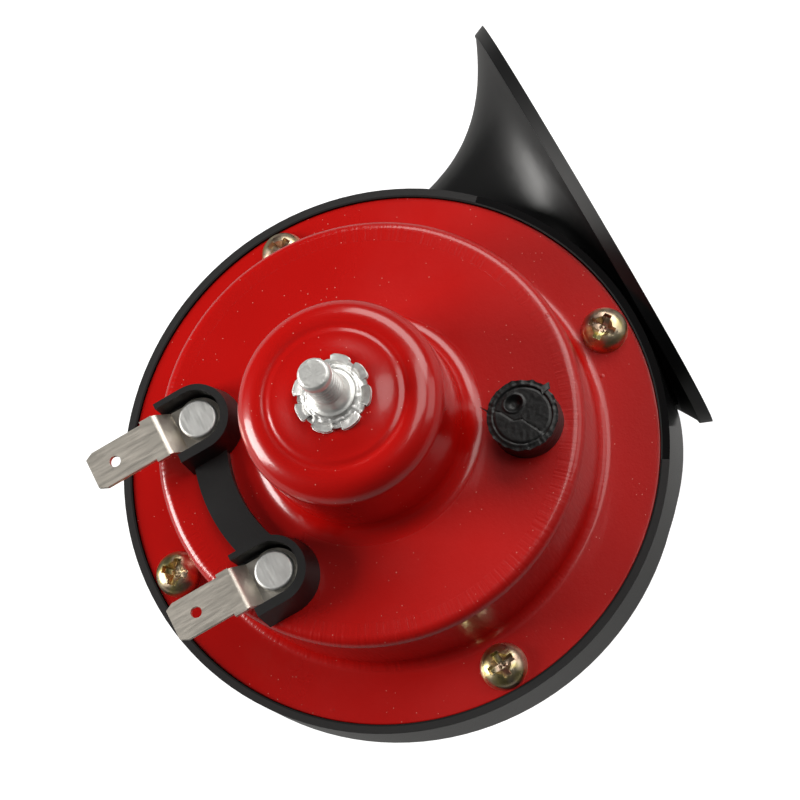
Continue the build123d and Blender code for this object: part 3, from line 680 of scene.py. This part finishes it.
def make_plug():
    """The cap with its tear and dent, a flap hanging over its side and a sliver lifted at the other."""
    around = 150
    form = Form()
    rows = []
    for k in range(15):
        share = k / 14
        row = []
        for j in range(around):
            angle = 2 * math.pi * j / around
            c, d = math.cos(angle), math.sin(angle)
            radius = PLUG_RADIUS - 0.16 * share + 0.05 * rough(c, d, share * 3, 2.6)
            bulge = 0.10 + 0.16 * rough(c, d, 7, 5.5) + 0.10 * rough(c, d, 2, 11)
            radius += smooth(0.86, 1.0, share) * bulge
            z = PLATEAU_Z + PLUG_FACE * share
            z += smooth(0.8, 1.0, share) * (0.13 * rough(c, d, 5, 7.0) + 0.08 * rough(c, d, 1, 16))
            row.append((PLUG_X + radius * c, PLUG_Y + radius * d, z))
        rows.append(row)
    inner = [5.2, 5.02, 4.8, 4.62, 4.45] + [4.3 - 0.16 * k for k in range(27)] + [0.05]
    for radius in inner:
        row = []
        for j in range(around):
            angle = 2 * math.pi * j / around
            c, d = math.cos(angle), math.sin(angle)
            x, y = radius * c, radius * d
            rag = 0.13 * rough(c, d, 9, 9.0) + 0.07 * rough(c, d, 4, 19.0)
            rim = smooth(4.35, 4.75, radius)
            side = tear_side(x, y)
            z = PLUG_FACE + 0.22 * smooth(-0.06, 0.06, side) * (1 - rim)
            z += 0.16 * math.exp(-((radius - 4.72) / 0.16) ** 2) + rim * rag
            z -= 0.20 * math.exp(-((radius - 4.40 - 0.1 * rag) / 0.12) ** 2)
            z -= 0.14 * math.exp(-(side / 0.09) ** 2) * (1 - rim)
            dent_x, dent_y = x - DENT_X, y - DENT_Y
            z -= 0.75 * math.exp(-((dent_x / 1.15) ** 2 + dent_y ** 2) ** 2)
            ridge = math.hypot(dent_x / 1.3, dent_y / 1.15)
            z += 0.22 * math.exp(-((ridge - 1.15) / 0.16) ** 2) * (1 if side < 0.4 else 0.3)
            z += 0.04 * rough(x, y, 2, 1.6)
            row.append((PLUG_X + x, PLUG_Y + y, min(PLATEAU_Z + z, PLUG_TOP)))
        rows.append(row)
    form.grid(rows)
    form.close_foot(around, (PLUG_X, PLUG_Y, PLATEAU_Z))
    piece("torn_plug", form.points, form.faces, "plug_rubber", "sealing_plug", sharp_deg=70)

    flap = Form()
    top = []
    for i in range(6):
        u = i / 5
        row = []
        for j in range(6):
            v = j / 5 - 0.5
            x = 4.35 + 1.35 * u + 0.3 * v
            y = 1.75 + (1.1 - 0.25 * u) * v + 0.25 * u
            z = PLUG_TOP - 0.14 - 0.30 * u * u + 0.06 * rough(x, y, 1, 3)
            row.append((PLUG_X + x, PLUG_Y + y, z))
        top.append(row)
    flap.slab(top, 0.22)
    piece("plug_flap", flap.points, flap.faces, "plug_rubber", bevel=0.05)

    sliver = Form()
    top = []
    for i in range(7):
        u = i / 6
        width = 0.24 * (1 - u) + 0.05
        row = []
        for j in range(3):
            v = j - 1
            x = -4.2 - 0.75 * u
            y = 3.0 + 1.2 * u + v * width + 0.2 * u * u
            row.append((PLUG_X + x, PLUG_Y + y, PLUG_TOP - 0.28 - 0.2 * u))
        top.append(row)
    sliver.slab(top, 0.14)
    piece("plug_sliver", sliver.points, sliver.faces, "plug_rubber", bevel=0.03)


make_cover()
make_stud()
make_star_washer()
for screw_number in range(1, 5):
    make_screw(screw_number)
make_plug()


# ---- floor, light and camera -----------------------------------------------------------------------------
CAMERA_PLACE = Vector((33.36, -122.37, 322.12)) * MM
CAMERA_BACK = Vector((0.0730, -0.3389, 0.9380))
CAMERA_RIGHT = Vector((0.8648, -0.4470, -0.2288))
CAMERA_LENS = 106.5
FLOOR_HALF = 3.0
WHITE = (1, 1, 1, 1)
LAMP_COLOUR = (1.0, 0.985, 0.955)
LAMP_AIM = Vector((0, 0, -0.04))
# Name, place along the camera's right, up and back in metres, size in metres, power in watts.
SOFTBOXES = (
    ("left", (-0.77, -0.03, 0.13), (0.35, 0.5), 6.8),
    ("above", (0.14, 0.64, 0.27), (0.8, 0.35), 3.6),
    ("right", (0.90, 0.35, 0.50), (0.6, 0.6), 1.6),
    ("window", (0.24, 0.52, 0.92), (0.6, 0.6), 3.0),
)


def studio():
    """A pale floor, soft lamps and the camera at the photo's angle."""
    scene = bpy.context.scene
    scene.view_settings.view_transform = "Standard"

    floor_mesh = bpy.data.meshes.new("floor")
    signs = ((-1, -1), (1, -1), (1, 1), (-1, 1))
    corners = [(a * FLOOR_HALF, b * FLOOR_HALF, cad_box[0].z) for a, b in signs]
    floor_mesh.from_pydata(corners, [], [(0, 1, 2, 3)])
    floor = bpy.data.objects.new("floor", floor_mesh)
    scene.collection.objects.link(floor)
    s = Shader("floor")
    s.set(colour=(0.3, 0.3, 0.3), roughness=0.9)
    s.bsdf.inputs["Emission Color"].default_value = WHITE
    s.bsdf.inputs["Emission Strength"].default_value = 1.0
    floor_mesh.materials.append(s.material)
    # The floor shows white, but its own glow doesn't light the part.
    lit_by_floor = bpy.data.collections.new("lit_by_floor")
    lit_by_floor.objects.link(floor)
    floor.light_linking.receiver_collection = lit_by_floor

    world = bpy.data.worlds.new("studio")
    scene.world = world
    world.use_nodes = True
    background = world.node_tree.nodes["Background"]
    background.inputs["Color"].default_value = WHITE
    background.inputs["Strength"].default_value = 0.035

    back = CAMERA_BACK.normalized()
    right = (CAMERA_RIGHT - back * CAMERA_RIGHT.dot(back)).normalized()
    up = back.cross(right)

    for name, (across, above, towards), size, power in SOFTBOXES:
        light = bpy.data.lights.new(name, "AREA")
        light.shape = "RECTANGLE"
        light.size, light.size_y = size
        light.energy = power
        light.color = LAMP_COLOUR
        holder = bpy.data.objects.new(name, light)
        scene.collection.objects.link(holder)
        holder.visible_camera = False
        holder.location = right * across + up * above + back * towards
        holder.rotation_euler = (LAMP_AIM - holder.location).to_track_quat("-Z", "Y").to_euler()

    camera = bpy.data.cameras.new("camera")
    camera.lens = CAMERA_LENS
    camera.sensor_width = 36.0
    camera.clip_start = 0.01
    holder = bpy.data.objects.new("camera", camera)
    scene.collection.objects.link(holder)
    turn = Matrix((right, up, back)).transposed()
    holder.matrix_world = Matrix.Translation(CAMERA_PLACE) @ turn.to_4x4()
    scene.camera = holder


studio()
